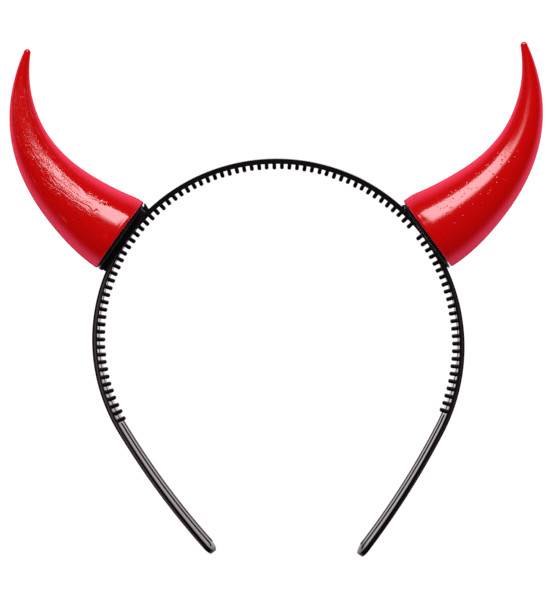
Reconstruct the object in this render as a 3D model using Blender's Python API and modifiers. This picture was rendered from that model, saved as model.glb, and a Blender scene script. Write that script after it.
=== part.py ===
"""Devil horns headband: a springy comb band and two hollow horns, each on a clip-on base.

Everything is in metres. The band is modelled as it is worn, with +X to the right as seen from the
front, +Y to the back and +Z up. Its mid-plane is y = 0 and the top of its crown is the origin. At the
end the whole thing is laid on its back, as it rests on a table: on the two horn rims and the two tips.
"""
import math

import bmesh
import bpy
import numpy as np
from mathutils import Matrix, Vector

# Gap that two pieces keep where they meet
CLEARANCE = 0.0003

# Band: arcs of its outer line, which leave each other tangentially
CROWN_RADIUS = 0.0651
CROWN_HALF_ANGLE = math.radians(50)
LEFT_SIDE_RADIUS = 0.0657
RIGHT_SIDE_RADIUS = 0.0690
LEFT_KNEE_HEADING = math.radians(118.2)
RIGHT_KNEE_HEADING = math.radians(116.6)
LEFT_LEG_RADIUS = 0.291
RIGHT_LEG_RADIUS = 0.304
LEFT_LEG_LENGTH = 0.0575
RIGHT_LEG_LENGTH = 0.0561

# Band: its flat section
BAND_WIDTH = 0.0090
BAND_THICKNESS = 0.0018
BAND_EDGE_BEVEL = 0.0003
BAND_STEP = 0.0040
TIP_STEPS = 6

# Comb teeth on the band's inner face, numbered from the crown down each side
LEFT_TEETH = 47
RIGHT_TEETH = 47
MISSING_RIGHT_TOOTH = 21
COMB_SHIFT = -0.00087
TOOTH_PITCH = 0.00274
TOOTH_PITCH_GROWTH = 0.0000034
TOOTH_LENGTH = 0.0018
TOOTH_WIDTH = 0.0013
TOOTH_DEPTH = 0.0020
# Outline of a tooth: share of its width from its middle, share of its length from the band
TOOTH_OUTLINE = (
    (-0.50, -0.20),
    (-0.40, 0.45),
    (-0.40, 0.70),
    (-0.17, 1.00),
    (0.17, 1.00),
    (0.40, 0.70),
    (0.40, 0.45),
    (0.50, -0.20),
)

# Shallow channel down the inner face of each leg, below the last tooth
CHANNEL_DEPTH = 0.0003
CHANNEL_WIDTH = 0.0036
CHANNEL_FRONT_RIM = 0.0016
CHANNEL_START_GAP = 0.0009
CHANNEL_END_GAP = 0.0025

# Horns: the same moulding on both sides, bent in the band's mid-plane; the length takes in the round tip
HORN_LENGTH = 0.0778
HORN_BASE_RADIUS = 0.0145
HORN_BEND = math.radians(81.4)
HORN_WALL = 0.0012
HORN_HOLLOW_END_RADIUS = 0.0008
HORN_STEPS = 18
HORN_TIP_STEPS = 3
HORN_RIM_SLANT = math.radians(8.1)
HORN_RIM_HEIGHT = 0.0020
HORN_RIM_TURN_IN = 0.0004
# Sections of a horn: share of its length, share of its bend, share of its base radius
HORN_SECTIONS = (
    (0.00, 0.00, 1.000),
    (0.12, 0.10, 0.910),
    (0.30, 0.21, 0.741),
    (0.50, 0.41, 0.541),
    (0.70, 0.66, 0.338),
    (0.85, 0.84, 0.192),
    (1.00, 1.00, 0.069),
)

# Where each horn stands: its rim's centre along the band's outer line from the crown and above it,
# its rim's lean from the band's normal, and how far below the first section its rim is cut
LEFT_HORN_PLACE = 0.0613
RIGHT_HORN_PLACE = 0.0623
LEFT_HORN_HEIGHT = 0.0017
RIGHT_HORN_HEIGHT = 0.0002
LEFT_HORN_LEAN = math.radians(1.1)
RIGHT_HORN_LEAN = math.radians(0.1)
LEFT_HORN_TRIM = -0.0004
RIGHT_HORN_TRIM = 0.0015

# Horn bases: a flange under the rim, a cup inside it, and a saddle whose cheeks grip the band
FLANGE_RADIUS = 0.0135
FLANGE_THICKNESS = 0.0009
FLANGE_OFFSET = 0.0006
CUP_HEIGHT = 0.0025
CUP_FLOOR = 0.0014
CUP_WALL = 0.0012
SADDLE_HALF_LENGTH = 0.0126
CHEEK_THICKNESS = 0.0012
CHEEK_SHORTFALL = 0.0002
LIP_RADIUS = 0.0009
LIP_INSET = 0.0015
LIP_LENGTH = 0.0090
BARB_HEIGHT = 0.0014
BARB_RADIUS = 0.0009

ROUND_SIDES = 32
TINY = 1e-7

LEFT = -1
RIGHT = 1
SIDE_RADIUS = {LEFT: LEFT_SIDE_RADIUS, RIGHT: RIGHT_SIDE_RADIUS}
KNEE_HEADING = {LEFT: LEFT_KNEE_HEADING, RIGHT: RIGHT_KNEE_HEADING}
LEG_RADIUS = {LEFT: LEFT_LEG_RADIUS, RIGHT: RIGHT_LEG_RADIUS}
LEG_LENGTH = {LEFT: LEFT_LEG_LENGTH, RIGHT: RIGHT_LEG_LENGTH}
TEETH = {LEFT: LEFT_TEETH, RIGHT: RIGHT_TEETH}
HORN_PLACE = {LEFT: LEFT_HORN_PLACE, RIGHT: RIGHT_HORN_PLACE}
HORN_HEIGHT = {LEFT: LEFT_HORN_HEIGHT, RIGHT: RIGHT_HORN_HEIGHT}
HORN_LEAN = {LEFT: LEFT_HORN_LEAN, RIGHT: RIGHT_HORN_LEAN}
HORN_TRIM = {LEFT: LEFT_HORN_TRIM, RIGHT: RIGHT_HORN_TRIM}
SIDE_NAMES = {LEFT: "left", RIGHT: "right"}


def clear_scene():
    """Remove what the file holds, so that the script can be run again."""
    for obj in list(bpy.data.objects):
        bpy.data.objects.remove(obj)
    for collection in list(bpy.data.collections):
        bpy.data.collections.remove(collection)


def new_collection(name):
    collection = bpy.data.collections.new(name)
    bpy.context.scene.collection.children.link(collection)
    return collection


def link(obj, collection):
    """Put an object in its collection; a cutter shows as wires and is not rendered."""
    collection.objects.link(obj)
    if collection.name == "cutters":
        obj.hide_render = True
        obj.display_type = "WIRE"


def plastic(name, colour, roughness):
    """A plain moulded plastic."""
    material = bpy.data.materials.new(name)
    material.use_nodes = True
    shader = material.node_tree.nodes["Principled BSDF"]
    shader.inputs["Base Color"].default_value = (*colour, 1.0)
    shader.inputs["Roughness"].default_value = roughness
    shader.inputs["Metallic"].default_value = 0.0
    return material


def mesh_object(name, bm, collection, frame=Matrix()):
    """Turn a bmesh into an object placed by its frame, smooth but for its sharp edges."""
    bmesh.ops.recalc_face_normals(bm, faces=bm.faces)
    mesh = bpy.data.meshes.new(name)
    bm.to_mesh(mesh)
    bm.free()
    mesh.shade_smooth()
    mesh.set_sharp_from_angle(angle=math.radians(35))
    obj = bpy.data.objects.new(name, mesh)
    obj.matrix_world = frame
    link(obj, collection)
    return obj


def boolean(obj, operation, other):
    modifier = obj.modifiers.new(other.name, "BOOLEAN")
    modifier.operation = operation
    modifier.solver = "EXACT"
    modifier.object = other


def band_arcs(side):
    """Radius and turned angle of each arc of one half of the band, from the crown down."""
    return (
        (CROWN_RADIUS, CROWN_HALF_ANGLE),
        (SIDE_RADIUS[side], KNEE_HEADING[side] - CROWN_HALF_ANGLE),
        (LEG_RADIUS[side], LEG_LENGTH[side] / LEG_RADIUS[side]),
    )


def half_length(side):
    return sum(radius * turn for radius, turn in band_arcs(side))


def band_point(along, inward=0.0):
    """Point at a signed arc length from the crown, and the tangent and outward normal there."""
    side = LEFT if along < 0 else RIGHT
    left = abs(along)
    x = z = heading = 0.0
    arcs = band_arcs(side)
    for radius, turn in arcs:
        last = (radius, turn) == arcs[-1]
        step = left / radius if last else min(turn, left / radius)
        x += radius * (math.sin(heading + step) - math.sin(heading))
        z += radius * (math.cos(heading + step) - math.cos(heading))
        heading += step
        left -= step * radius
    normal = Vector((side * math.sin(heading), 0.0, math.cos(heading)))
    tangent = Vector((side * math.cos(heading), 0.0, -math.sin(heading)))
    return Vector((side * x, 0.0, z)) - normal * inward, tangent, normal


def even_steps(start, end, step):
    return np.linspace(start, end, max(2, round(abs(end - start) / step) + 1))


def rounded_stations(start, end, front, back, step):
    """Rows of a strip with half-round ends: arc length, front edge and back edge of each row."""
    middle = (front + back) / 2
    radius = (back - front) / 2
    angles = [math.pi / 2 * (k + 1) / TIP_STEPS for k in range(TIP_STEPS)]
    direction = 1 if end > start else -1
    rows = [(start + direction * radius * (1 - math.cos(a)), radius * math.sin(a)) for a in angles]
    rows += [(s, radius) for s in even_steps(rows[-1][0], end - direction * radius, step)[1:-1]]
    rows += [(end - direction * radius * (1 - math.cos(a)), radius * math.sin(a)) for a in reversed(angles)]
    return [(along, middle - half, middle + half) for along, half in rows]


def strip(name, stations, inward, thickness, collection):
    """A strip that follows the band: an open surface with a thickness towards the head."""
    bm = bmesh.new()
    rows = []
    for along, front, back in sorted(stations):
        point = band_point(along, inward)[0]
        rows.append([bm.verts.new(point + Vector((0, y, 0))) for y in (front, back)])
    for a, b in zip(rows, rows[1:]):
        bm.faces.new((a[0], b[0], b[1], a[1]))
    mesh = bpy.data.meshes.new(name)
    bm.to_mesh(mesh)
    bm.free()
    obj = bpy.data.objects.new(name, mesh)
    link(obj, collection)
    solid = obj.modifiers.new("thickness", "SOLIDIFY")
    solid.thickness = thickness
    solid.offset = -1
    solid.use_even_offset = True
    return obj


def tooth_place(side, number):
    """Signed arc length of a tooth, whose pitch grows a little down the side."""
    steps = number + 0.5
    return COMB_SHIFT + side * (TOOTH_PITCH * steps + TOOTH_PITCH_GROWTH * steps * steps / 2)


def add_tooth(bm, along):
    """One tooth: its outline, extruded evenly about the band's mid-plane."""
    root, tangent, normal = band_point(along, BAND_THICKNESS)
    front = Vector((0, -TOOTH_DEPTH / 2, 0))
    corners = [
        bm.verts.new(root + front + tangent * across * TOOTH_WIDTH - normal * out * TOOTH_LENGTH)
        for across, out in TOOTH_OUTLINE
    ]
    face = bm.faces.new(corners)
    extruded = bmesh.ops.extrude_face_region(bm, geom=[face])["geom"]
    moved = [item for item in extruded if isinstance(item, bmesh.types.BMVert)]
    bmesh.ops.translate(bm, verts=moved, vec=(0, TOOTH_DEPTH, 0))


def make_teeth(cutters):
    bm = bmesh.new()
    for side in (LEFT, RIGHT):
        for number in range(TEETH[side]):
            if (side, number) != (RIGHT, MISSING_RIGHT_TOOTH):
                add_tooth(bm, tooth_place(side, number))
    return mesh_object("teeth", bm, cutters)


def make_headband(parts, cutters, material):
    """The band with its teeth and leg channels, one moulding."""
    edge = BAND_WIDTH / 2
    stations = rounded_stations(-half_length(LEFT), half_length(RIGHT), -edge, edge, BAND_STEP)
    band = strip("headband", stations, 0.0, BAND_THICKNESS, parts)
    bevel = band.modifiers.new("edges", "BEVEL")
    bevel.width = BAND_EDGE_BEVEL
    bevel.segments = 1
    bevel.limit_method = "ANGLE"
    bevel.angle_limit = math.radians(60)
    boolean(band, "UNION", make_teeth(cutters))
    for side in (LEFT, RIGHT):
        start = tooth_place(side, TEETH[side] - 1) + side * CHANNEL_START_GAP
        end = side * (half_length(side) - CHANNEL_END_GAP)
        front = CHANNEL_FRONT_RIM - edge
        rows = rounded_stations(start, end, front, front + CHANNEL_WIDTH, BAND_STEP)
        name = SIDE_NAMES[side] + "_channel"
        channel = strip(name, rows, BAND_THICKNESS - CHANNEL_DEPTH, 2 * CHANNEL_DEPTH, cutters)
        boolean(band, "DIFFERENCE", channel)
    band.data.materials.append(material)
    return band


def base_frame(side):
    """Frame of a horn's rim: X towards the crown, Z out of the band, origin at the rim's centre."""
    point, tangent, normal = band_point(side * HORN_PLACE[side])
    lean = Matrix.Rotation(-side * HORN_LEAN[side], 3, "Y")
    out = lean @ normal
    towards_crown = lean @ (-tangent)
    depth = out.cross(towards_crown)
    frame = Matrix((towards_crown, depth, out)).transposed().to_4x4()
    frame.translation = point + normal * HORN_HEIGHT[side]
    return frame


def smooth_column(shares, column, at):
    """Smooth curve through a column of the section table."""
    slopes = np.gradient(column, shares)
    k = min(int(np.searchsorted(shares, at, side="right")) - 1, len(shares) - 2)
    span = shares[k + 1] - shares[k]
    t = (at - shares[k]) / span
    return (
        (2 * t**3 - 3 * t**2 + 1) * column[k]
        + (t**3 - 2 * t**2 + t) * span * slopes[k]
        + (3 * t**2 - 2 * t**3) * column[k + 1]
        + (t**3 - t**2) * span * slopes[k + 1]
    )


def horn_stations(side):
    """Centre points in a rim's frame and outer radii, from below the rim to the end of the tip."""
    shares, bends, radii = (np.array(column) for column in zip(*HORN_SECTIONS))
    heading = -HORN_RIM_SLANT
    direction = Vector((math.sin(heading), 0, math.cos(heading)))
    start = Vector((0, 0, HORN_TRIM[side]))
    below = 2 * HORN_RIM_HEIGHT
    rim_radius = HORN_BASE_RADIUS - HORN_RIM_TURN_IN
    stations = [
        (start - direction * below, rim_radius - HORN_RIM_TURN_IN),
        (start - direction * HORN_RIM_HEIGHT, rim_radius),
    ]
    point = start
    share_step = (1 - radii[-1] * HORN_BASE_RADIUS / HORN_LENGTH) / HORN_STEPS
    for k in range(HORN_STEPS + 1):
        radius = smooth_column(shares, radii, k * share_step) * HORN_BASE_RADIUS
        stations.append((point.copy(), radius))
        if k < HORN_STEPS:
            heading = smooth_column(shares, bends, (k + 0.5) * share_step) * HORN_BEND - HORN_RIM_SLANT
            direction = Vector((math.sin(heading), 0, math.cos(heading)))
            point = point + direction * share_step * HORN_LENGTH
    for k in range(1, HORN_TIP_STEPS + 1):
        angle = math.pi / 2 * k / (HORN_TIP_STEPS + 0.3)
        stations.append((point + direction * radius * math.sin(angle), radius * math.cos(angle)))
    return stations


def tapered_tube(name, stations, collection, frame):
    """A closed round tube of changing radius, from a curve whose caps are welded on."""
    curve = bpy.data.curves.new(name, "CURVE")
    curve.dimensions = "3D"
    curve.bevel_depth = HORN_BASE_RADIUS
    curve.bevel_resolution = 8
    curve.use_fill_caps = True
    spline = curve.splines.new("POLY")
    spline.points.add(len(stations) - 1)
    for point, (place, radius) in zip(spline.points, stations):
        point.co = (*place, 1)
        point.radius = radius / HORN_BASE_RADIUS
    guide = bpy.data.objects.new(name + "_curve", curve)
    collection.objects.link(guide)
    graph = bpy.context.evaluated_depsgraph_get()
    bm = bmesh.new()
    mesh = bpy.data.meshes.new_from_object(guide.evaluated_get(graph))
    bm.from_mesh(mesh)
    bpy.data.objects.remove(guide)
    bpy.data.meshes.remove(mesh)
    bmesh.ops.remove_doubles(bm, verts=bm.verts, dist=TINY)
    return mesh_object(name, bm, collection, frame)


def block(name, low, high, collection, frame):
    """A box between two corners."""
    bm = bmesh.new()
    bmesh.ops.create_cube(bm, size=1)
    low, high = Vector(low), Vector(high)
    bmesh.ops.scale(bm, verts=bm.verts, vec=high - low)
    bmesh.ops.translate(bm, verts=bm.verts, vec=(high + low) / 2)
    return mesh_object(name, bm, collection, frame)


def disc(name, radius, low, high, collection, frame, top_radius=None, sides=ROUND_SIDES):
    """A cylinder or cone between two heights."""
    bm = bmesh.new()
    bmesh.ops.create_cone(
        bm,
        cap_ends=True,
        segments=sides,
        radius1=radius,
        radius2=radius if top_radius is None else top_radius,
        depth=high - low,
        matrix=Matrix.Translation((0, 0, (high + low) / 2)),
    )
    return mesh_object(name, bm, collection, frame)


def make_horn(side, parts, cutters, material):
    """A hollow horn, open at its slanted rim."""
    name = SIDE_NAMES[side] + "_horn"
    frame = base_frame(side)
    stations = horn_stations(side)
    horn = tapered_tube(name, stations, parts, frame)
    below = [(place, radius - HORN_WALL) for place, radius in stations]
    hollow = [row for row in below if row[1] > HORN_HOLLOW_END_RADIUS]
    reach = 2 * HORN_BASE_RADIUS
    boolean(horn, "DIFFERENCE", tapered_tube(name + "_hollow", hollow, cutters, frame))
    rim_cut = block(name + "_rim_cut", (-reach, -reach, -reach), (reach, reach, 0), cutters, frame)
    boolean(horn, "DIFFERENCE", rim_cut)
    horn.data.materials.append(material)
    return horn


def make_base(side, parts, cutters, material):
    """A horn's base: the flange and cup that the horn sits on, and the saddle that grips the band."""
    name = SIDE_NAMES[side] + "_horn_base"
    frame = base_frame(side)
    flange_top = -CLEARANCE
    flange_bottom = flange_top - FLANGE_THICKNESS
    inside = flange_top - FLANGE_THICKNESS / 2
    cheek = BAND_WIDTH / 2 + CLEARANCE + CHEEK_THICKNESS
    bottom = CHEEK_SHORTFALL - HORN_HEIGHT[side] - BAND_THICKNESS
    base = block(
        name, (-SADDLE_HALF_LENGTH, -cheek, bottom), (SADDLE_HALF_LENGTH, cheek, inside), parts, frame
    )
    shifted = frame @ Matrix.Translation((-FLANGE_OFFSET, 0, 0))
    boolean(base, "UNION", disc(name + "_flange", FLANGE_RADIUS, flange_bottom, flange_top, cutters, shifted))
    slant = CUP_HEIGHT * math.tan(HORN_RIM_SLANT)
    cup_radius = HORN_BASE_RADIUS - HORN_RIM_TURN_IN - HORN_WALL - CLEARANCE - slant
    boolean(base, "UNION", disc(name + "_cup", cup_radius, inside, CUP_HEIGHT, cutters, frame))
    hollow_top = CUP_HEIGHT + CUP_WALL
    hollow_radius = cup_radius - CUP_WALL
    boolean(base, "DIFFERENCE", disc(name + "_cup_hollow", hollow_radius, CUP_FLOOR, hollow_top, cutters, frame))
    lip_place = Vector((LIP_INSET - FLANGE_OFFSET - FLANGE_RADIUS, 0, flange_bottom - LIP_RADIUS / 4))
    lip_frame = frame @ Matrix.Translation(lip_place) @ Matrix.Rotation(math.pi / 2, 4, "X")
    half = LIP_LENGTH / 2
    boolean(base, "UNION", disc(name + "_lip", LIP_RADIUS, -half, half, cutters, lip_frame, sides=12))
    barb_foot = bottom + (flange_bottom - bottom) / 2
    barb_frame = frame @ Matrix.Translation((SADDLE_HALF_LENGTH, 0, barb_foot))
    barb = disc(
        name + "_barb", BARB_RADIUS, 0, BARB_HEIGHT, cutters, barb_frame, top_radius=BARB_RADIUS / 4, sides=8
    )
    boolean(base, "UNION", barb)
    place = side * HORN_PLACE[side]
    reach = 1.5 * SADDLE_HALF_LENGTH
    edge = BAND_WIDTH / 2 + CLEARANCE
    rows = [(along, -edge, edge) for along in even_steps(place - reach, place + reach, BAND_STEP / 2)]
    way = strip(name + "_band_way", rows, -CLEARANCE, BAND_THICKNESS + 2 * CLEARANCE, cutters)
    boolean(base, "DIFFERENCE", way)
    base.data.materials.append(material)
    return base


def evaluated_points(objects):
    """World points of the finished meshes, and the centre of mass of what they enclose."""
    graph = bpy.context.evaluated_depsgraph_get()
    points, moment, volume = [], Vector(), 0.0
    for obj in objects:
        found = obj.evaluated_get(graph)
        bm = bmesh.new()
        bm.from_mesh(found.to_mesh())
        bm.transform(obj.matrix_world)
        points += [vert.co.copy() for vert in bm.verts]
        for a, b, c in ([loop.vert.co for loop in loops] for loops in bm.calc_loop_triangles()):
            slice_volume = a.dot(b.cross(c)) / 6
            volume += slice_volume
            moment += slice_volume * (a + b + c) / 4
        bm.free()
        found.to_mesh_clear()
    return points, moment / volume


def lying_angle(points, centre):
    """Angle between the band's plane and a table, with the thing on its back and its centre supported."""
    best = 0.0
    ordered = sorted((point.z, point.y) for point in points)
    hull = []
    for point in ordered:
        while len(hull) > 1:
            (z0, y0), (z1, y1) = hull[-2], hull[-1]
            if (z1 - z0) * (point[1] - y0) - (y1 - y0) * (point[0] - z0) < 0:
                break
            hull.pop()
        hull.append(point)
    for (z0, y0), (z1, y1) in zip(hull, hull[1:]):
        if z0 <= centre.z <= z1:
            best = math.atan2(y1 - y0, z1 - z0)
    return best


def lay_down(objects, everything):
    """Lay the thing on its back, with the middle of its underside at the origin."""
    bpy.context.view_layer.update()
    points, centre = evaluated_points(objects)
    pose = bpy.data.objects.new("lying_pose", None)
    bpy.context.scene.collection.objects.link(pose)
    turn = Matrix.Rotation(lying_angle(points, centre) - math.pi / 2, 4, "X")
    turned = [turn @ point for point in points]
    low = Vector([min(point[k] for point in turned) for k in range(3)])
    high = Vector([max(point[k] for point in turned) for k in range(3)])
    pose.rotation_euler = turn.to_euler()
    pose.location = (-(low.x + high.x) / 2, -(low.y + high.y) / 2, -low.z)
    for obj in everything:
        obj.parent = pose


def main():
    clear_scene()
    parts = new_collection("devil_horns_headband")
    cutters = new_collection("cutters")
    black = plastic("black_plastic", (0.012, 0.011, 0.012), 0.25)
    red = plastic("red_plastic", (0.58, 0.008, 0.012), 0.18)
    pieces = [make_headband(parts, cutters, black)]
    for side in (LEFT, RIGHT):
        pieces.append(make_horn(side, parts, cutters, red))
        pieces.append(make_base(side, parts, cutters, black))
    lay_down(pieces, list(parts.objects) + list(cutters.objects))
    bpy.context.view_layer.update()


main()
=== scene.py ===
"""Looks of the devil horns headband: fine skins over the CAD pieces, plastics, studio and camera.

Everything is in metres. The skins are modelled as the band is worn, with +X to the right as seen
from the front, +Y to the back, +Z up and the top of the crown at the origin, and are then laid on
their back as the CAD pieces lie. The sizes repeat those of the CAD.
"""
import math

import bmesh
import bpy
import numpy as np
from mathutils import Matrix, Vector

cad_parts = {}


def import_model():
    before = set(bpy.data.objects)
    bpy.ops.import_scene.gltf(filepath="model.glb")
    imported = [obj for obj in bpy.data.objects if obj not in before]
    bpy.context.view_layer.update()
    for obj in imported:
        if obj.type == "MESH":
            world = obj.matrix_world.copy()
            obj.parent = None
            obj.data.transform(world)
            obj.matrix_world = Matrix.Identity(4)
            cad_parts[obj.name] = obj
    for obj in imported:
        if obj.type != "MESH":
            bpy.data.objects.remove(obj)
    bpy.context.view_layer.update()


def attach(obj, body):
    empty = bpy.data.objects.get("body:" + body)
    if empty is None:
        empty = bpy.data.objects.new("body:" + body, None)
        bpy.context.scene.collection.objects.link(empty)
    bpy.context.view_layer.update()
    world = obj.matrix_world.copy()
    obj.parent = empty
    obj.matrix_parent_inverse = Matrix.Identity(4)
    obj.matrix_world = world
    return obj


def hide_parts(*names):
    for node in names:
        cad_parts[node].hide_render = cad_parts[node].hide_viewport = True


# How the CAD lies on its back
LYING_TURN = math.radians(-85.059)
LYING_PLACE = Vector((-0.001024, 0.053328, 0.016738))

# Band, as in the CAD
CLEARANCE = 0.0003
CROWN_RADIUS = 0.0651
CROWN_HALF_ANGLE = math.radians(50)
LEFT = -1
RIGHT = 1
SIDE_NAMES = {LEFT: "left", RIGHT: "right"}
SIDE_RADIUS = {LEFT: 0.0657, RIGHT: 0.0690}
KNEE_HEADING = {LEFT: math.radians(118.2), RIGHT: math.radians(116.6)}
LEG_RADIUS = {LEFT: 0.291, RIGHT: 0.304}
LEG_LENGTH = {LEFT: 0.0575, RIGHT: 0.0561}
BAND_WIDTH = 0.0090
BAND_THICKNESS = 0.0018
TEETH = {LEFT: 47, RIGHT: 47}
MISSING_RIGHT_TOOTH = 21
COMB_SHIFT = -0.00087
TOOTH_PITCH = 0.00274
TOOTH_PITCH_GROWTH = 0.0000034
TOOTH_LENGTH = 0.0018
TOOTH_WIDTH = 0.0013
TOOTH_DEPTH = 0.0020
CHANNEL_DEPTH = 0.0003
CHANNEL_WIDTH = 0.0036
CHANNEL_FRONT_RIM = 0.0016
CHANNEL_START_GAP = 0.0009
CHANNEL_END_GAP = 0.0025

# Horns, as in the CAD
HORN_LENGTH = 0.0778
HORN_BASE_RADIUS = 0.0145
HORN_BEND = math.radians(81.4)
HORN_WALL = 0.0012
HORN_HOLLOW_END_RADIUS = 0.0008
HORN_RIM_SLANT = math.radians(8.1)
HORN_RIM_TURN_IN = 0.0004
HORN_RIM_HEIGHT = 0.0020
HORN_SECTIONS = (
    (0.00, 0.00, 1.000),
    (0.12, 0.10, 0.910),
    (0.30, 0.21, 0.741),
    (0.50, 0.41, 0.541),
    (0.70, 0.66, 0.338),
    (0.85, 0.84, 0.192),
    (1.00, 1.00, 0.069),
)
HORN_PLACE = {LEFT: 0.0613, RIGHT: 0.0623}
HORN_HEIGHT = {LEFT: 0.0017, RIGHT: 0.0002}
HORN_LEAN = {LEFT: math.radians(1.1), RIGHT: math.radians(0.1)}
HORN_TRIM = {LEFT: -0.0004, RIGHT: 0.0015}

# Horn bases, as in the CAD
FLANGE_RADIUS = 0.0135
FLANGE_THICKNESS = 0.0009
FLANGE_OFFSET = 0.0006
CUP_HEIGHT = 0.0025
CUP_FLOOR = 0.0014
CUP_WALL = 0.0012
SADDLE_HALF_LENGTH = 0.0126
CHEEK_THICKNESS = 0.0012
CHEEK_SHORTFALL = 0.0002
LIP_RADIUS = 0.0009
LIP_INSET = 0.0015
LIP_LENGTH = 0.0090
BARB_RADIUS = 0.0009

# Band details of the skin: a low groove between the teeth and a fine raised rim along the legs
COMB_GROOVE_FRONT = -0.0026
COMB_GROOVE_BACK = 0.0007
COMB_GROOVE_DEPTH = 0.00015
BACK_RIM_INSET = 0.0005
BACK_RIM_WIDTH = 0.0008
BACK_RIM_HEIGHT = 0.0002

# Horn details of the skin: where each one starts to turn in towards its rim and how softly, and
# the fine rolls over the rim, as height above it and rise
RIM_TURN_START = {LEFT: 0.0013, RIGHT: 0.0}
RIM_TURN_SOFTNESS = 0.0004
RIM_ROLLS = ((0.0008, 0.00003), (0.0016, -0.00001))
RIM_ROLL_HALF_WIDTH = 0.00035

# Relief of the horns: height above the rim where it starts, how soon it is whole, a slight swell
RELIEF_START = 0.0004
RELIEF_FADE = 0.0008
RELIEF_SEED = {LEFT: 21, RIGHT: 22}
SWELL_HEIGHT = 0.00002
SWELL_ALONG = 0.012
SWELL_AROUND = 0.010
# The swell's grid of random values reaches over this length, and fits round a horn of this radius
SWELL_REACH = 0.09
SWELL_RADIUS = 0.010
# Cone close to a horn, by which widths around it become angles
CONE_TAPER = 0.95
CONE_LEAST_RADIUS = 0.002

# Base details of the skin: the left barb is bent to the crown and stands higher than in the CAD
BARB_TILT = {LEFT: math.radians(40), RIGHT: 0.0}
BARB_RISE = {LEFT: 0.0023, RIGHT: 0.0014}
SADDLE_ROUND = 0.0003
FLANGE_ROUND = 0.00035
CUP_ROUND = 0.0002
LIP_ROUND = 0.0003

# How fine the skins are
BAND_STEP = 0.0006
BAND_EDGE_ROUND = 0.00065
TIP_STEPS = 20
CURVE_POINTS = 2400
# The horn's curve starts this far below the middle of its rim, which is slanted
CURVE_FOOT = 0.006
HORN_ROWS = 280
HORN_INNER_ROWS = 24
HORN_RIM_ROWS = 5
HORN_TIP_ROWS = 7
HORN_SIDES = 224
HORN_RIM_ROUND = 0.00045
DISC_SIDES = 96
SMALL_SIDES = 32

# Edges sharper than this many degrees stay sharp in the shading
BAND_CREASE = 38
COMB_CREASE = 60
HORN_CREASE = 50
BASE_CREASE = 35

# Camera, as the worn band was seen; its focal length is in pixels
CAMERA_DISTANCE = 0.428
CAMERA_ELEVATION = math.radians(10.43)
CAMERA_AZIMUTH = math.radians(1.49)
CAMERA_ROLL = math.radians(1.30)
CAMERA_TARGET = Vector((-0.00051, 0.0, -0.05002))
CAMERA_FOCAL = 1210.4
IMAGE_HEIGHT = 600
SENSOR = 36.0
CLIP_START = 0.01

# Studio: places across and along the floor, sizes and brightness of level softboxes
SOFTBOX_HEIGHT = 0.55
# Lights at one height would hide each other in reflections
LIGHT_GAP = 0.001
WORLD_STRENGTH = 1.02
SOFT_TOP = ((0.0, 0.32), (0.7, 0.7), 5.9)
KEY_FOOT = ((-0.15, 0.33), (0.18, 0.12), 1.5)
FAINT_FILL = ((-0.33, 0.25), (0.80, 0.28), 0.06)
# Layers of the key light, one inside the other: near corner, side and brightness
KEY_LAYERS = (
    (0.235, 0.92, 1.6),
    (0.27, 0.90, 3.0),
    (0.31, 0.88, 3.4),
    (0.37, 0.83, 3.4),
)
KEY_COLOUR = (1.0, 0.96, 1.03)
# Strips that light the band alone
BAND_STRIPS = {
    "left_strip": ((-0.155, -0.27), (0.07, 0.32), 1.3),
    "right_strip": ((0.155, -0.27), (0.07, 0.32), 0.4),
}
STRIP_COLOUR = (1.0, 0.93, 0.82)
# Light from the floor, which faces up
FLOOR_GLOW = ((0.0, 0.0), (5.0, 5.0), 0.55)
FLOOR_GLOW_HEIGHT = 0.0002
FLOOR_GLOW_COLOUR = (1.0, 0.90, 0.97)
FLOOR_HALF_SIZE = 3.0
FLOOR_ROUGHNESS = 0.9
FLOOR_BASE = (0.02, 0.02, 0.02)
FLOOR_WHITE = (1.0, 0.96, 0.98, 1.0)
FLOOR_STRENGTH = 1.08

LIE = Matrix.Translation(LYING_PLACE) @ Matrix.Rotation(LYING_TURN, 4, "X")


def band_arcs(side):
    """Radius and turned angle of each arc of one half of the band, from the crown down."""
    return (
        (CROWN_RADIUS, CROWN_HALF_ANGLE),
        (SIDE_RADIUS[side], KNEE_HEADING[side] - CROWN_HALF_ANGLE),
        (LEG_RADIUS[side], LEG_LENGTH[side] / LEG_RADIUS[side]),
    )


def half_length(side):
    return sum(radius * turn for radius, turn in band_arcs(side))


def band_point(along, inward=0.0):
    """Point at a signed arc length from the crown, and the tangent and outward normal there."""
    side = LEFT if along < 0 else RIGHT
    left = abs(along)
    x = z = heading = 0.0
    arcs = band_arcs(side)
    for radius, turn in arcs:
        last = (radius, turn) == arcs[-1]
        step = left / radius if last else min(turn, left / radius)
        x += radius * (math.sin(heading + step) - math.sin(heading))
        z += radius * (math.cos(heading + step) - math.cos(heading))
        heading += step
        left -= step * radius
    normal = Vector((side * math.sin(heading), 0.0, math.cos(heading)))
    tangent = Vector((side * math.cos(heading), 0.0, -math.sin(heading)))
    return Vector((side * x, 0.0, z)) - normal * inward, tangent, normal


def even_steps(start, end):
    return np.linspace(start, end, max(2, round(abs(end - start) / BAND_STEP) + 1))


def rounded_stations(start, end, front, back):
    """Rows of a strip with half-round ends: arc length, front edge and back edge of each row."""
    middle = (front + back) / 2
    radius = (back - front) / 2
    angles = [math.pi / 2 * (k + 1) / TIP_STEPS for k in range(TIP_STEPS)]
    direction = 1 if end > start else -1
    ends = [(direction * radius * (1 - math.cos(a)), radius * math.sin(a)) for a in angles]
    rows = [(start + step, half) for step, half in ends]
    rows += [(s, radius) for s in even_steps(rows[-1][0], end - direction * radius)[1:-1]]
    rows += [(end - step, half) for step, half in reversed(ends)]
    return [(along, middle - half, middle + half) for along, half in rows]


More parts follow.
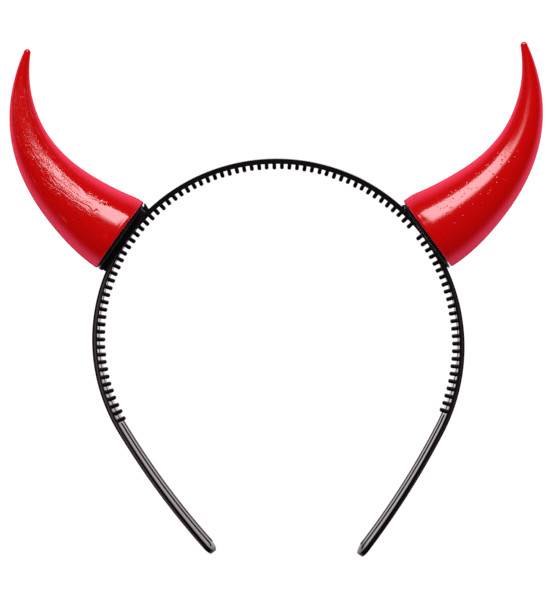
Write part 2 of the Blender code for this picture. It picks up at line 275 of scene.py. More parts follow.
def new_object(name, bm, frame=Matrix()):
    """Object from a bmesh whose normals point out."""
    bmesh.ops.recalc_face_normals(bm, faces=bm.faces)
    mesh = bpy.data.meshes.new(name)
    bm.to_mesh(mesh)
    bm.free()
    obj = bpy.data.objects.new(name, mesh)
    obj.matrix_world = frame
    bpy.context.scene.collection.objects.link(obj)
    return obj


def bevel_edges(obj, width, segments, angle):
    """Modifier that rounds an object's edges where they are sharper than an angle."""
    bevel = obj.modifiers.new("edges", "BEVEL")
    bevel.width = width
    bevel.segments = segments
    bevel.limit_method = "ANGLE"
    bevel.angle_limit = math.radians(angle)


def strip(name, stations, inward, thickness, edge_round=0.0):
    """A strip that follows the band, with a thickness towards the head and rounded edges."""
    bm = bmesh.new()
    rows = []
    for along, front, back in sorted(stations):
        point = band_point(along, inward)[0]
        rows.append([bm.verts.new(point + Vector((0, y, 0))) for y in (front, back)])
    for a, b in zip(rows, rows[1:]):
        bm.faces.new((a[0], b[0], b[1], a[1]))
    mesh = bpy.data.meshes.new(name)
    bm.to_mesh(mesh)
    bm.free()
    obj = bpy.data.objects.new(name, mesh)
    bpy.context.scene.collection.objects.link(obj)
    solid = obj.modifiers.new("thickness", "SOLIDIFY")
    solid.thickness = thickness
    solid.offset = -1
    solid.use_even_offset = True
    if edge_round:
        bevel_edges(obj, edge_round, segments=4, angle=60)
    settle(obj)
    return obj


def join_with(obj, operation, other):
    """Boolean with another object, which is used up."""
    modifier = obj.modifiers.new(other.name, "BOOLEAN")
    modifier.operation = operation
    modifier.solver = "MANIFOLD"
    modifier.object = other
    settle(obj)
    bpy.data.objects.remove(other)


def settle(obj):
    """Apply all modifiers of an object."""
    graph = bpy.context.evaluated_depsgraph_get()
    mesh = bpy.data.meshes.new_from_object(obj.evaluated_get(graph))
    obj.modifiers.clear()
    old = obj.data
    obj.data = mesh
    bpy.data.meshes.remove(old)


def shade(obj, angle):
    """Smooth shading but for edges sharper than an angle."""
    obj.data.shade_smooth()
    obj.data.set_sharp_from_angle(angle=math.radians(angle))


def finish_piece(obj, name, material, slot, *nodes):
    """Lay a skin on its back, give it its plastic and let it stand for its CAD node, if any."""
    obj.data.transform(LIE @ obj.matrix_world)
    obj.matrix_world = Matrix()
    obj.name = name
    obj.data.name = name
    obj.data.materials.clear()
    obj.data.materials.append(material)
    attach(obj, "root")
    if nodes:
        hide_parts(*nodes)


# Band


def tooth_place(side, number):
    """Signed arc length of a tooth, whose pitch grows a little down the side."""
    steps = number + 0.5
    return COMB_SHIFT + side * (TOOTH_PITCH * steps + TOOTH_PITCH_GROWTH * steps * steps / 2)


# Rings of a tooth: shares of its length from the band, of its root's width and of its root's depth
TOOTH_RINGS = (
    (-0.22, 1.24, 1.04),
    (0.00, 1.16, 0.98),
    (0.12, 1.08, 0.94),
    (0.35, 1.06, 0.90),
    (0.65, 1.10, 0.88),
    (0.90, 1.08, 0.84),
    (1.04, 0.98, 0.78),
    (1.14, 0.72, 0.60),
    (1.20, 0.34, 0.30),
)
TOOTH_SIDES = 20
# How much a tooth's length and lean stray, and the power that squares its section
TOOTH_STRAY = 0.03
TOOTH_SQUARING = 0.5
COMB_SEED = 11


def add_tooth(bm, along, rng):
    """One rounded comb tooth, no two quite alike."""
    root, tangent, normal = band_point(along, BAND_THICKNESS)
    length = TOOTH_LENGTH * (1 + TOOTH_STRAY * rng.standard_normal())
    lean = TOOTH_STRAY * rng.standard_normal()
    rings = []
    for out, width, depth in TOOTH_RINGS:
        middle = root - normal * out * length + tangent * lean * max(0.0, out) * length
        ring = []
        for k in range(TOOTH_SIDES):
            angle = 2 * math.pi * k / TOOTH_SIDES
            c, s = math.cos(angle), math.sin(angle)
            across = math.copysign(abs(c) ** TOOTH_SQUARING, c) * width * TOOTH_WIDTH / 2
            deep = math.copysign(abs(s) ** TOOTH_SQUARING, s) * depth * TOOTH_DEPTH / 2
            ring.append(bm.verts.new(middle + tangent * across + Vector((0, deep, 0))))
        rings.append(ring)
    for a, b in zip(rings, rings[1:]):
        for k in range(TOOTH_SIDES):
            n = (k + 1) % TOOTH_SIDES
            bm.faces.new((a[k], a[n], b[n], b[k]))
    bm.faces.new(rings[0])
    bm.faces.new(rings[-1])


def last_tooth(side):
    return tooth_place(side, TEETH[side] - 1)


def make_comb(material):
    """All teeth as one skin, which belongs to the headband's solid."""
    rng = np.random.default_rng(COMB_SEED)
    bm = bmesh.new()
    for side in (LEFT, RIGHT):
        for number in range(TEETH[side]):
            if (side, number) != (RIGHT, MISSING_RIGHT_TOOTH):
                add_tooth(bm, tooth_place(side, number), rng)
    teeth = new_object("comb", bm)
    shade(teeth, COMB_CREASE)
    finish_piece(teeth, "comb_skin", material, "black_plastic")


def cut_comb_groove(band):
    places = even_steps(last_tooth(LEFT), last_tooth(RIGHT))
    rows = [(along, COMB_GROOVE_FRONT, COMB_GROOVE_BACK) for along in places]
    groove = strip("comb_groove", rows, BAND_THICKNESS - COMB_GROOVE_DEPTH, 2 * COMB_GROOVE_DEPTH)
    join_with(band, "DIFFERENCE", groove)


def shape_leg(band, side):
    """Cut a leg's channel and raise the fine rim near its back edge."""
    name = SIDE_NAMES[side]
    edge = BAND_WIDTH / 2
    start = last_tooth(side) + side * CHANNEL_START_GAP
    end = side * (half_length(side) - CHANNEL_END_GAP)
    front = CHANNEL_FRONT_RIM - edge
    rows = rounded_stations(start, end, front, front + CHANNEL_WIDTH)
    channel = strip(name + "_channel", rows, BAND_THICKNESS - CHANNEL_DEPTH, 2 * CHANNEL_DEPTH)
    join_with(band, "DIFFERENCE", channel)
    back = edge - BACK_RIM_INSET
    rows = rounded_stations(start, end, back - BACK_RIM_WIDTH, back)
    middle = BAND_THICKNESS / 2
    join_with(band, "UNION", strip(name + "_back_rim", rows, middle, middle + BACK_RIM_HEIGHT))


def make_band(material, comb_material):
    edge = BAND_WIDTH / 2
    stations = rounded_stations(-half_length(LEFT), half_length(RIGHT), -edge, edge)
    band = strip("band_skin", stations, 0.0, BAND_THICKNESS, BAND_EDGE_ROUND)
    cut_comb_groove(band)
    make_comb(comb_material)
    for side in (LEFT, RIGHT):
        shape_leg(band, side)
    shade(band, BAND_CREASE)
    finish_piece(band, "band_skin", material, "black_plastic", "headband")
    return band


# Horns


def base_frame(side):
    """Frame of a horn's rim: X towards the crown, Z out of the band, origin at the rim's centre."""
    point, tangent, normal = band_point(side * HORN_PLACE[side])
    lean = Matrix.Rotation(-side * HORN_LEAN[side], 3, "Y")
    out = lean @ normal
    towards_crown = lean @ (-tangent)
    depth = out.cross(towards_crown)
    frame = Matrix((towards_crown, depth, out)).transposed().to_4x4()
    frame.translation = point + normal * HORN_HEIGHT[side]
    return frame


def smooth_column(shares, column, at):
    """Smooth curve through a column of the section table."""
    slopes = np.gradient(column, shares)
    at = np.asarray(at, float)
    k = np.clip(np.searchsorted(shares, at, side="right") - 1, 0, len(shares) - 2)
    span = shares[k + 1] - shares[k]
    t = (at - shares[k]) / span
    return (
        (2 * t**3 - 3 * t**2 + 1) * column[k]
        + (t**3 - 2 * t**2 + t) * span * slopes[k]
        + (3 * t**2 - 2 * t**3) * column[k + 1]
        + (t**3 - t**2) * span * slopes[k + 1]
    )


def horn_curve(side):
    """Dense centre line in a rim's frame: length along it, centre x and z, heading and radius."""
    shares, bends, radii = (np.array(column) for column in zip(*HORN_SECTIONS))
    end = HORN_LENGTH * (1 - radii[-1] * HORN_BASE_RADIUS / HORN_LENGTH)
    s = np.linspace(-CURVE_FOOT, end, CURVE_POINTS)
    share = np.clip(s / HORN_LENGTH, 0, 1)
    heading = smooth_column(shares, bends, share) * HORN_BEND - HORN_RIM_SLANT
    middle = (heading[1:] + heading[:-1]) / 2
    step = np.diff(s)
    x = np.concatenate(([0], np.cumsum(np.sin(middle) * step)))
    z = np.concatenate(([0], np.cumsum(np.cos(middle) * step)))
    x -= np.interp(0.0, s, x)
    z += HORN_TRIM[side] - np.interp(0.0, s, z)
    radius = smooth_column(shares, radii, share) * HORN_BASE_RADIUS
    slope = (radii[1] - radii[0]) * HORN_BASE_RADIUS / (shares[1] * HORN_LENGTH)
    spread = np.where(s < 0, radius + slope * s, radius)
    turn_in = HORN_RIM_TURN_IN / HORN_RIM_HEIGHT
    turned = HORN_BASE_RADIUS + turn_in * (s - RIM_TURN_START[side])
    # The lesser of the two radii, with a soft corner
    soft = RIM_TURN_SOFTNESS
    low = np.minimum(spread, turned)
    radius = low - soft * np.log(np.exp((low - spread) / soft) + np.exp((low - turned) / soft))
    return s, x, z, heading, radius


def smooth_noise(rng, along, around, size_along, size_around):
    """Smooth random field over a horn's skin, from a periodic grid of random values."""
    rows = int(SWELL_REACH / size_along) + 4
    columns = max(4, int(2 * math.pi * SWELL_RADIUS / size_around))
    grid = rng.standard_normal((rows, columns))
    u = (along + CURVE_FOOT) / size_along
    v = (around / (2 * math.pi) % 1.0) * columns
    i, j = np.floor(u).astype(int), np.floor(v).astype(int)
    fu, fv = u - i, v - j
    fu, fv = fu * fu * (3 - 2 * fu), fv * fv * (3 - 2 * fv)
    i = np.clip(i, 0, rows - 2)
    a, b = grid[i, j % columns], grid[i, (j + 1) % columns]
    c, d = grid[i + 1, j % columns], grid[i + 1, (j + 1) % columns]
    return (a * (1 - fv) + b * fv) * (1 - fu) + (c * (1 - fv) + d * fv) * fu


# Dents and bumps: place along the horn and around it in degrees, half sizes along and around, and
# height. All lengths are in millimetres.
HORN_MARKS = {
    LEFT: (
        (11.5, 292, 0.35, 0.35, -0.200),
        (12.1, 308, 0.25, 0.70, -0.150),
        (11.2, 310, 0.22, 0.60, -0.120),
        (10.3, 311, 0.25, 0.65, -0.150),
        (9.0, 314, 0.25, 0.70, -0.120),
        (27.3, 338, 1.80, 0.30, -0.160),
        (25.6, 336, 0.80, 0.25, -0.120),
        (3.2, 262, 1.60, 1.90, 0.450),
        (1.8, 268, 0.35, 1.00, -0.200),
        (2.8, 254, 0.30, 0.60, -0.150),
        (68.6, 262, 0.30, 0.60, -0.120),
        (62.0, 285, 0.35, 0.50, -0.100),
    ),
    RIGHT: (
        (18.4, 116, 0.75, 0.75, 0.120),
        (18.4, 116, 0.38, 0.38, -0.260),
        (62.6, 123, 0.40, 0.50, -0.200),
        (2.4, 97, 0.60, 2.80, 0.260),
        (9.0, 84, 0.30, 0.40, 0.080),
        (13.5, 96, 0.30, 0.30, 0.070),
        (23.0, 92, 0.30, 0.30, 0.070),
    ),
}


def horn_relief(side, along, around):
    """Height of a horn's surface over its smooth form: a slight swell, dents and bumps."""
    rng = np.random.default_rng(RELIEF_SEED[side])
    height = smooth_noise(rng, along, around, SWELL_ALONG, SWELL_AROUND) * SWELL_HEIGHT
    cone = HORN_BASE_RADIUS * (1 - CONE_TAPER * along / HORN_LENGTH)
    radius = np.clip(cone, CONE_LEAST_RADIUS, None)
    for place, turn, half_along, half_around, rise in HORN_MARKS[side]:
        across = (around - math.radians(turn) + math.pi) % (2 * math.pi) - math.pi
        u = (along * 1000 - place) / half_along
        v = across * radius * 1000 / half_around
        height = height + rise / 1000 * np.exp(-(u * u + v * v))
    return height


def horn_surface(curve, along, around, inset=0.0):
    """Points of a horn's smooth outer surface, or of one inset from it."""
    s, cx, cz, heading, radius = curve
    h = np.interp(along, s, heading)
    r = np.interp(along, s, radius) - inset
    x = np.interp(along, s, cx) + r * np.cos(around) * np.cos(h)
    z = np.interp(along, s, cz) - r * np.cos(around) * np.sin(h)
    return np.stack([x, r * np.sin(around), z], -1)


def horn_feet(curve, angles):
    """Length along the horn at which its outer surface starts over the rim, at each angle."""
    s, _, cz, heading, radius = curve
    heights = [cz - radius * math.cos(angle) * np.sin(heading) for angle in angles]
    return np.array([np.interp(HORN_RIM_ROUND, height, s) for height in heights])


def outer_rows(side, curve, angles, feet):
    """The outer surface with its relief: length along the horn and points of each row."""
    s, cx, cz = curve[:3]
    along = feet + (s[-1] - feet) * np.linspace(0, 1, HORN_ROWS)[:, None]
    around = np.broadcast_to(angles, along.shape)
    outer = horn_surface(curve, along, around)
    normals = np.cross(np.gradient(outer, axis=0), np.roll(outer, -1, 1) - np.roll(outer, 1, 1))
    normals /= np.linalg.norm(normals, axis=2)[..., None]
    centre = np.stack([np.interp(along, s, cx), 0 * along, np.interp(along, s, cz)], -1)
    normals *= np.sign(np.sum(normals * (outer - centre), axis=2))[..., None]
    above_rim = outer[..., 2]
    relief = horn_relief(side, along, around)
    relief = relief * np.clip((above_rim - RELIEF_START) / RELIEF_FADE, 0, 1)
    for height, rise in RIM_ROLLS:
        relief += rise * np.exp(-(((above_rim - height) / RIM_ROLL_HALF_WIDTH) ** 2))
    return along, outer + normals * relief[..., None]


def rim_rows(curve, feet, inner_edge, outer_edge):
    """The rolled rim, from the inner surface round to the outer one."""
    s, cx = curve[:2]
    out = outer_edge[:, :2] - np.array([np.interp(feet, s, cx), 0 * feet]).T
    out = out / np.linalg.norm(out, axis=1)[:, None]
    out = np.concatenate([out, np.zeros((HORN_SIDES, 1))], axis=1)
    down = np.array([0.0, 0.0, -1.0])
    rows = [
        inner_edge + down * (HORN_RIM_ROUND * 0.7),
        inner_edge + out * (HORN_RIM_ROUND * 0.3) + down * HORN_RIM_ROUND,
    ]
    for angle in np.linspace(math.pi / 2, 0, HORN_RIM_ROWS + 1)[:-1]:
        inset = HORN_RIM_ROUND * (1 - math.cos(angle))
        drop = HORN_RIM_ROUND * math.sin(angle)
        rows.append(outer_edge - out * inset + down * drop)
    return rows


def horn_mesh(rows, marks, pole):
    """Skin through rings of points, closed at both ends, with a map of its turns and lengths."""
    bm = bmesh.new()
    flow = bm.loops.layers.uv.new("flow")
    rings = [[bm.verts.new(point) for point in row] for row in rows]
    for i, (a, b) in enumerate(zip(rings, rings[1:])):
        for k in range(HORN_SIDES):
            n = (k + 1) % HORN_SIDES
            face = bm.faces.new((a[k], a[n], b[n], b[k]))
            corners = ((i, k, k), (i, n, k + 1), (i + 1, n, k + 1), (i + 1, k, k))
            for loop, (row, column, turn) in zip(face.loops, corners):
                loop[flow].uv = (turn / HORN_SIDES, marks[row][column] / HORN_LENGTH)
    bm.faces.new(rings[0])
    point = bm.verts.new(pole)
    for k in range(HORN_SIDES):
        face = bm.faces.new((rings[-1][k], rings[-1][(k + 1) % HORN_SIDES], point))
        for loop in face.loops:
            loop[flow].uv = (k / HORN_SIDES, 1.0)
    return bm


def make_horn(side, material):
    """A horn's skin: inner surface, rolled rim, outer surface and rounded tip."""
    curve = horn_curve(side)
    s, cx, cz, heading, radius = curve
    angles = np.arange(HORN_SIDES) * 2 * math.pi / HORN_SIDES - side * math.pi / 2
    feet = horn_feet(curve, angles)
    along, outer = outer_rows(side, curve, angles, feet)

    inner_end = float(np.interp(-HORN_HOLLOW_END_RADIUS - HORN_WALL, -radius, s))
    marks = [feet + (inner_end - feet) * t for t in np.linspace(1, 0, HORN_INNER_ROWS)]
    rows = [horn_surface(curve, mark, angles, HORN_WALL) for mark in marks]
    rim = rim_rows(curve, feet, rows[-1], outer[0])
    rows += rim + list(outer)
    marks += [feet] * len(rim) + list(along)
    ahead = np.array([math.sin(heading[-1]), 0, math.cos(heading[-1])])
    middle = np.array([cx[-1], 0, cz[-1]])
    for k in range(1, HORN_TIP_ROWS + 1):
        angle = math.pi / 2 * k / (HORN_TIP_ROWS + 1)
        rise = radius[-1] * math.sin(angle)
        rows.append(middle + (outer[-1] - middle) * math.cos(angle) + ahead * rise)
        marks.append(np.full(HORN_SIDES, s[-1] + rise))

    name = SIDE_NAMES[side] + "_horn"
    skin = horn_mesh(rows, marks, middle + ahead * radius[-1])
    horn = new_object(name + "_skin", skin, base_frame(side))
    shade(horn, HORN_CREASE)
    finish_piece(horn, name + "_skin", material, "red_plastic", name)


# Bases


def rounded(obj, width, segments=3):
    """Round an object's edges."""
    bevel_edges(obj, width, segments, angle=50)
    settle(obj)
    return obj


def block(name, low, high, frame):
    bm = bmesh.new()
    bmesh.ops.create_cube(bm, size=1)
    low, high = Vector(low), Vector(high)
    bmesh.ops.scale(bm, verts=bm.verts, vec=high - low)
    bmesh.ops.translate(bm, verts=bm.verts, vec=(high + low) / 2)
    return new_object(name, bm, frame)


def disc(name, radius, low, high, frame, top_radius=None, sides=DISC_SIDES):
    bm = bmesh.new()
    bmesh.ops.create_cone(
        bm,
        cap_ends=True,
        segments=sides,
        radius1=radius,
        radius2=radius if top_radius is None else top_radius,
        depth=high - low,
        matrix=Matrix.Translation((0, 0, (high + low) / 2)),
    )
    return new_object(name, bm, frame)


def add_cup(base, frame, floor):
    """The cup inside the horn's rim, from a height inside the flange up."""
    slant = CUP_HEIGHT * math.tan(HORN_RIM_SLANT)
    radius = HORN_BASE_RADIUS - HORN_RIM_TURN_IN - HORN_WALL - CLEARANCE - slant
    join_with(base, "UNION", rounded(disc("cup", radius, floor, CUP_HEIGHT, frame), CUP_ROUND))
    hollow_top = CUP_HEIGHT + CUP_WALL
    hollow = disc("cup_hollow", radius - CUP_WALL, CUP_FLOOR, hollow_top, frame)
    join_with(base, "DIFFERENCE", hollow)


def add_lip(base, frame, flange_bottom):
    """The round lip under the flange, at its end away from the crown."""
    place = Vector((LIP_INSET - FLANGE_OFFSET - FLANGE_RADIUS, 0, flange_bottom - LIP_RADIUS / 4))
    frame = frame @ Matrix.Translation(place) @ Matrix.Rotation(math.pi / 2, 4, "X")
    half = LIP_LENGTH / 2
    lip = disc("lip", LIP_RADIUS, -half, half, frame, sides=SMALL_SIDES)
    join_with(base, "UNION", rounded(lip, LIP_ROUND))


def add_barb(base, side, frame, foot):
    """The small pointed barb at the crown's end of the saddle."""
    tilt = Matrix.Rotation(BARB_TILT[side], 4, "Y")
    frame = frame @ Matrix.Translation((SADDLE_HALF_LENGTH, 0, foot)) @ tilt
    top = BARB_RADIUS / 4
    barb = disc("barb", BARB_RADIUS, 0, BARB_RISE[side], frame, top_radius=top, sides=SMALL_SIDES)
    join_with(base, "UNION", barb)


def cut_band_way(base, side):
    """Clear the band's way through the saddle."""
    place = side * HORN_PLACE[side]
    reach = 1.5 * SADDLE_HALF_LENGTH
    edge = BAND_WIDTH / 2 + CLEARANCE
    rows = [(along, -edge, edge) for along in even_steps(place - reach, place + reach)]
    way = strip("band_way", rows, -CLEARANCE, BAND_THICKNESS + 2 * CLEARANCE)
    join_with(base, "DIFFERENCE", way)


def make_base(side, material):
    """A horn's base: flange and cup that the horn sits on, and saddle that grips the band."""
    name = SIDE_NAMES[side] + "_horn_base"
    frame = base_frame(side)
    flange_top = -CLEARANCE
    flange_bottom = flange_top - FLANGE_THICKNESS
    inside = flange_top - FLANGE_THICKNESS / 2
    cheek = BAND_WIDTH / 2 + CLEARANCE + CHEEK_THICKNESS
    bottom = CHEEK_SHORTFALL - HORN_HEIGHT[side] - BAND_THICKNESS
    half = SADDLE_HALF_LENGTH
    base = rounded(block(name, (-half, -cheek, bottom), (half, cheek, inside), frame), SADDLE_ROUND)
    shifted = frame @ Matrix.Translation((-FLANGE_OFFSET, 0, 0))
    flange = disc("flange", FLANGE_RADIUS, flange_bottom, flange_top, shifted)
    join_with(base, "UNION", rounded(flange, FLANGE_ROUND, segments=4))
    add_cup(base, frame, inside)
    add_lip(base, frame, flange_bottom)
    add_barb(base, side, frame, bottom + (flange_bottom - bottom) / 2)
    cut_band_way(base, side)
    shade(base, BASE_CREASE)
    finish_piece(base, name + "_skin", material, "black_plastic", name)


# Plastics
BLACK = (0.0035, 0.0030, 0.0035)
RED = (0.34, 0.0014, 0.0016)
IOR = 1.5
FULL_GLOSS = 0.5

# Fine grain of the blacks: scale and detail of the noise, heights in millimetres
GRAIN_SCALE = 900
GRAIN_DETAIL = 3.0
BAND_GRAIN = 0.006
COMB_GRAIN = 0.004
BASE_GRAIN = 0.020
BAND_ROUGHNESS = 0.10
COMB_ROUGHNESS = 0.20
BASE_ROUGHNESS = 0.15

# Painted shade: the band's gloss goes as its faces turn out to the sides, and in the last
# millimetres of the legs, so these look dark
TURNED_OUT = (0.20, 0.45)
TURNED_OUT_GLOSS = 0.04
TIP_SHADE_SPAN = (-0.0888, -0.0858)
TIP_GLOSS_SHARE = 0.10
BAND_TINT = (1.0, 0.74, 0.87, 1.0)
# Painted shade: the comb's gloss is turned down
COMB_SHADE_GLOSS = 0.08
# The bases are glossy in small patches, where a noise is high
PATCH_SCALE = 750
PATCH_START = (0.65, 0.71)
PATCH_DULL_GLOSS = 0.015

# As the red turns away from the eye its gloss goes, and a pink sheen comes and goes: a painted
# reflection of pale surroundings along the horns' sides
HORN_ROUGHNESS = {LEFT: 0.11, RIGHT: 0.14}
GLOSS_GOES = (0.19, 0.28)
SHEEN_COMES = (0.24, 0.50)
SHEEN_GOES = (0.70, 0.92)
SHEEN_ROUGHNESS = 0.6
SHEEN_TINT = (1.0, 0.08, 0.17, 1.0)

# Relief of the red too fine for the mesh. All its heights and depths are in millimetres.
# Orange peel: scale of the noise and height
PEEL = ((420, 0.022), (1500, 0.009))
# Dots in some cells of a pattern: its scale, edge of a dot, depth, and which cells have one
DOT_SCALE = 950
DOT_EDGE = (0.12, 0.34)
DOT_DEPTH = 0.080
DOT_CHANCE = (0.60, 0.62)
LEFT_DOT_SHARE = 0.3
# Wrinkles and nicks of the left horn: waves around it and along it, and how they sway
SWAY_WAVES = (9.0, 7.0)
SWAY = 5.0
WRINKLE_WAVES = (75.0, 14.0)
WRINKLE_DETAIL = 3.5
WRINKLE_HEIGHT = 0.26
NICK_WAVES = (34.0, 105.0)
NICK_LAYER = 4.0
NICK_EDGE = (0.58, 0.68)
NICK_DEPTH = 0.140
# The wrinkles are low on one side: where around the horn that starts, and their share there
LOW_SIDE = (0.575, 0.62)
LOW_SIDE_SHARE = 0.25
# Where the marks lie, as shares of a turn around the horn and of its length: from, to, soft edge
DOTS_AROUND = {LEFT: (0.48, 0.62, 0.03), RIGHT: (0.36, 0.50, 0.04)}
DOTS_ALONG = {LEFT: (0.10, 0.75, 0.05), RIGHT: (0.10, 0.50, 0.05)}
WRINKLES_ALONG = (0.20, 0.78, 0.10)
NICKS_AROUND = (0.50, 0.585, 0.02)
NICKS_ALONG = (0.34, 0.60, 0.06)


def plastic(name, colour, roughness):
    material = bpy.data.materials.new(name)
    material.use_nodes = True
    shader = material.node_tree.nodes["Principled BSDF"]
    shader.inputs["Base Color"].default_value = (*colour, 1.0)
    shader.inputs["Roughness"].default_value = roughness
    shader.inputs["Metallic"].default_value = 0.0
    shader.inputs["IOR"].default_value = IOR
    return material, shader


class Recipe:
    """Short names for a material's nodes and their arithmetic."""

    def __init__(self, material):
        self.tree = material.node_tree

    def add(self, kind, **settings):
        """Node with some of its settings and, by socket name, input values."""
        node = self.tree.nodes.new("ShaderNode" + kind)
        for key, value in settings.items():
            if key in node.inputs:
                node.inputs[key].default_value = value
            else:
                setattr(node, key, value)
        return node

    def put(self, value, socket):
        """Link an output into a socket, or give the socket a plain value."""
        if isinstance(value, bpy.types.NodeSocket):
            self.tree.links.new(value, socket)
        else:
            socket.default_value = value

    def math(self, operation, a, b=0.0):
        node = self.add("Math", operation=operation)
        self.put(a, node.inputs[0])
        self.put(b, node.inputs[1])
        return node.outputs[0]

    def times(self, *values):
        total = values[0]
        for value in values[1:]:
            total = self.math("MULTIPLY", total, value)
        return total

    def plus(self, *values):
        total = values[0]
        for value in values[1:]:
            total = self.math("ADD", total, value)
        return total

    def ramp(self, value, low, high, out_low=0.0, out_high=1.0):
        """Smooth step from one value to another."""
        node = self.add("MapRange", interpolation_type="SMOOTHSTEP")
        self.put(value, node.inputs["Value"])
        ends = {"From Min": low, "From Max": high, "To Min": out_low, "To Max": out_high}
        for name, number in ends.items():
            node.inputs[name].default_value = number
        return node.outputs["Result"]

    def window(self, value, low, high, soft):
        """One between two values and nought outside."""
        rise = self.ramp(value, low - soft, low)
        return self.times(rise, self.ramp(value, high, high + soft, 1.0, 0.0))

    def vector(self, x, y, z=0.0):
        node = self.add("CombineXYZ")
        for value, socket in zip((x, y, z), node.inputs):
            self.put(value, socket)
        return node.outputs[0]

    def parts(self, vector):
        """The three parts of a vector."""
        node = self.add("SeparateXYZ")
        self.put(vector, node.inputs[0])
        return node.outputs

    def coordinates(self, kind):
        return self.add("TexCoord").outputs[kind]

    def noise(self, place, scale, detail=2.0):
        node = self.add("TexNoise", Scale=scale, Detail=detail)
        self.put(place, node.inputs["Vector"])
        return node.outputs["Fac"]

    def bump(self, height, shader):
        """Bump from a height in millimetres."""
        node = self.add("Bump", Strength=1.0, Distance=0.001)
        self.put(height, node.inputs["Height"])
        self.put(node.outputs["Normal"], shader.inputs["Normal"])


def black_plastic(name, grain, roughness):
    material, shader = plastic(name, BLACK, roughness)
    recipe = Recipe(material)
    noise = recipe.noise(recipe.coordinates("Object"), GRAIN_SCALE, GRAIN_DETAIL)
    recipe.bump(recipe.times(noise, grain), shader)
    return material, shader, recipe


def band_plastic():
    """Glossy black, with painted shade: little gloss at the tips of the legs and on the faces
    turned out to the sides.
    """
    material, shader, recipe = black_plastic("black_gloss", BAND_GRAIN, BAND_ROUGHNESS)
    place = recipe.parts(recipe.coordinates("Object"))
    normal = recipe.parts(recipe.coordinates("Normal"))
    turned_out = recipe.times(normal[0], recipe.math("SIGN", place[0]))
    level = recipe.times(
        recipe.ramp(turned_out, *TURNED_OUT, FULL_GLOSS, TURNED_OUT_GLOSS),
        recipe.ramp(place[1], *TIP_SHADE_SPAN, TIP_GLOSS_SHARE, 1.0),
    )
    recipe.put(level, shader.inputs["Specular IOR Level"])
    shader.inputs["Specular Tint"].default_value = BAND_TINT
    return material


def comb_plastic():
    """Painted shade: a duller copy of the band's black on the comb, for the shade the teeth cast on
    each other.
    """
    material, shader, _ = black_plastic("black_gloss_comb", COMB_GRAIN, COMB_ROUGHNESS)
    shader.inputs["Specular IOR Level"].default_value = COMB_SHADE_GLOSS
    return material


def base_plastic():
    material, shader, recipe = black_plastic("black_gloss_base", BASE_GRAIN, BASE_ROUGHNESS)
    patches = recipe.noise(recipe.coordinates("Object"), PATCH_SCALE, 1.0)
    level = recipe.ramp(patches, *PATCH_START, PATCH_DULL_GLOSS, FULL_GLOSS)
    recipe.put(level, shader.inputs["Specular IOR Level"])
    return material


def add_painted_edge_reflection(recipe, shader):
    """No gloss but a pink sheen where the surface turns away: a painted reflection of pale
    surroundings.
    """
    facing = recipe.add("LayerWeight", Blend=0.5).outputs["Facing"]
    gloss = recipe.ramp(facing, *GLOSS_GOES, FULL_GLOSS, 0.0)
    recipe.put(gloss, shader.inputs["Specular IOR Level"])
    comes = recipe.ramp(facing, *SHEEN_COMES)
    goes = recipe.ramp(facing, *SHEEN_GOES, 1.0, 0.0)
    recipe.put(recipe.times(comes, goes), shader.inputs["Sheen Weight"])
    shader.inputs["Sheen Roughness"].default_value = SHEEN_ROUGHNESS
    shader.inputs["Sheen Tint"].default_value = SHEEN_TINT


def dots(recipe, place):
    """Small pits in some cells of a random pattern."""
    cells = recipe.add("TexVoronoi", Scale=DOT_SCALE, Randomness=1.0)
    recipe.put(place, cells.inputs["Vector"])
    chance = recipe.add("SeparateColor")
    recipe.put(cells.outputs["Color"], chance.inputs[0])
    pit = recipe.ramp(cells.outputs["Distance"], *DOT_EDGE, -DOT_DEPTH, 0.0)
    return recipe.times(pit, recipe.ramp(chance.outputs[0], *DOT_CHANCE))


def wrinkles(recipe, around, along):
    """Fine wrinkles that flow along the left horn, with nicks across them."""

    def waves(counts):
        return recipe.times(around, counts[0]), recipe.times(along, counts[1])

    sway = recipe.times(recipe.noise(recipe.vector(*waves(SWAY_WAVES)), 1.0), SWAY)
    u, v = waves(WRINKLE_WAVES)
    flow = recipe.noise(recipe.vector(recipe.plus(u, sway), v), 1.0, WRINKLE_DETAIL)
    low_side = recipe.ramp(around, *LOW_SIDE, 1.0, LOW_SIDE_SHARE)
    folds = recipe.times(flow, recipe.window(along, *WRINKLES_ALONG), low_side, WRINKLE_HEIGHT)
    u, v = waves(NICK_WAVES)
    cross = recipe.noise(recipe.vector(u, recipe.plus(v, sway), NICK_LAYER), 1.0, 1.0)
    nicks = recipe.times(
        recipe.ramp(cross, *NICK_EDGE, 0.0, -NICK_DEPTH),
        recipe.window(along, *NICKS_ALONG),
        recipe.window(around, *NICKS_AROUND),
    )
    return folds, nicks


def red_plastic(side):
    """Glossy red of one horn, with the marks of its moulding."""
    material, shader = plastic("red_gloss_" + SIDE_NAMES[side], RED, HORN_ROUGHNESS[side])
    recipe = Recipe(material)
    add_painted_edge_reflection(recipe, shader)
    place = recipe.coordinates("Object")
    around, along, _ = recipe.parts(recipe.add("UVMap", uv_map="flow").outputs[0])
    layers = [recipe.times(recipe.noise(place, scale), height) for scale, height in PEEL]
    peel = recipe.plus(*layers)
    pits = recipe.times(
        dots(recipe, place),
        recipe.window(around, *DOTS_AROUND[side]),
        recipe.window(along, *DOTS_ALONG[side]),
    )
    if side == RIGHT:
        height = recipe.plus(peel, pits)
    else:
        folds, nicks = wrinkles(recipe, around, along)
        height = recipe.plus(peel, folds, nicks, recipe.times(pits, LEFT_DOT_SHARE))
    recipe.bump(height, shader)
    return material


# Studio


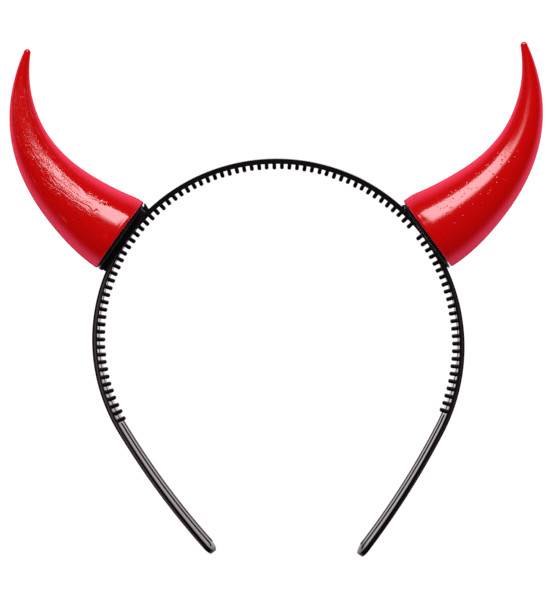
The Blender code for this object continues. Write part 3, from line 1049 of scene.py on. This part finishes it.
def area_light(name, place, size, radiance, height, colour=(1, 1, 1), glossy=True, diffuse=True):
    """A level softbox overhead, of a given brightness."""
    lamp = bpy.data.lights.new(name, "AREA")
    lamp.shape = "RECTANGLE"
    lamp.size, lamp.size_y = size
    lamp.energy = radiance * math.pi * size[0] * size[1]
    lamp.color = colour
    obj = bpy.data.objects.new(name, lamp)
    obj.location = (*place, height)
    obj.visible_camera = False
    obj.visible_glossy = glossy
    obj.visible_diffuse = diffuse
    bpy.context.scene.collection.objects.link(obj)
    return obj


def diamond(name, corner, side, radiance, height):
    """A square softbox that points its near corner at the object; seen only in reflections."""
    place = (0.0, corner + side / math.sqrt(2))
    light = area_light(name, place, (side, side), radiance, height, KEY_COLOUR, diffuse=False)
    light.rotation_euler.z = math.pi / 4


def make_world():
    """White that only the camera sees."""
    world = bpy.data.worlds.new("studio")
    bpy.context.scene.world = world
    world.use_nodes = True
    background = world.node_tree.nodes["Background"]
    background.inputs["Color"].default_value = (1.0, 1.0, 1.0, 1.0)
    background.inputs["Strength"].default_value = WORLD_STRENGTH
    world.cycles_visibility.glossy = False
    world.cycles_visibility.diffuse = False


def make_lights(band):
    soft_top = area_light("soft_top", *SOFT_TOP, SOFTBOX_HEIGHT, glossy=False)
    # Otherwise it would hide the lights above it in reflections
    soft_top.data.cycles.use_multiple_importance_sampling = False
    for number, layer in enumerate(KEY_LAYERS):
        diamond("key_" + str(number), *layer, SOFTBOX_HEIGHT + LIGHT_GAP * (number + 2))
    area_light("key_foot", *KEY_FOOT, SOFTBOX_HEIGHT, diffuse=False)
    area_light("faint_fill", *FAINT_FILL, SOFTBOX_HEIGHT + LIGHT_GAP, diffuse=False)
    band_only = bpy.data.collections.new("band_only")
    band_only.objects.link(band)
    for name, light in BAND_STRIPS.items():
        band_strip = area_light(name, *light, SOFTBOX_HEIGHT, STRIP_COLOUR, diffuse=False)
        band_strip.light_linking.receiver_collection = band_only
    glow = area_light("floor_glow", *FLOOR_GLOW, FLOOR_GLOW_HEIGHT, FLOOR_GLOW_COLOUR)
    glow.rotation_euler.x = math.pi


def make_floor():
    bm = bmesh.new()
    bmesh.ops.create_grid(bm, x_segments=1, y_segments=1, size=FLOOR_HALF_SIZE)
    floor = new_object("floor", bm)
    material, shader = plastic("floor_white", FLOOR_BASE, FLOOR_ROUGHNESS)
    shader.inputs["Specular IOR Level"].default_value = 0.0
    shader.inputs["Emission Color"].default_value = FLOOR_WHITE
    shader.inputs["Emission Strength"].default_value = FLOOR_STRENGTH
    floor.data.materials.append(material)


def make_camera():
    ca, sa = math.cos(CAMERA_AZIMUTH), math.sin(CAMERA_AZIMUTH)
    ce, se = math.cos(CAMERA_ELEVATION), math.sin(CAMERA_ELEVATION)
    right = Vector((ca, sa, 0))
    forward = Vector((-sa * ce, ca * ce, -se))
    up = Vector((-sa * se, ca * se, ce))
    cr, sr = math.cos(CAMERA_ROLL), math.sin(CAMERA_ROLL)
    right, up = right * cr - up * sr, right * sr + up * cr
    frame = Matrix((right, up, -forward)).transposed().to_4x4()
    frame.translation = CAMERA_TARGET - forward * CAMERA_DISTANCE
    lens = bpy.data.cameras.new("camera")
    lens.sensor_width = SENSOR
    lens.lens = CAMERA_FOCAL / IMAGE_HEIGHT * SENSOR
    lens.clip_start = CLIP_START
    camera = bpy.data.objects.new("camera", lens)
    camera.matrix_world = LIE @ frame
    bpy.context.scene.collection.objects.link(camera)
    bpy.context.scene.camera = camera


def main():
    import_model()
    bpy.context.scene.view_settings.view_transform = "Standard"
    base_black = base_plastic()
    band = make_band(band_plastic(), comb_plastic())
    for side in (LEFT, RIGHT):
        make_horn(side, red_plastic(side))
        make_base(side, base_black)
    make_world()
    make_lights(band)
    make_floor()
    make_camera()
    bpy.context.view_layer.update()


main()
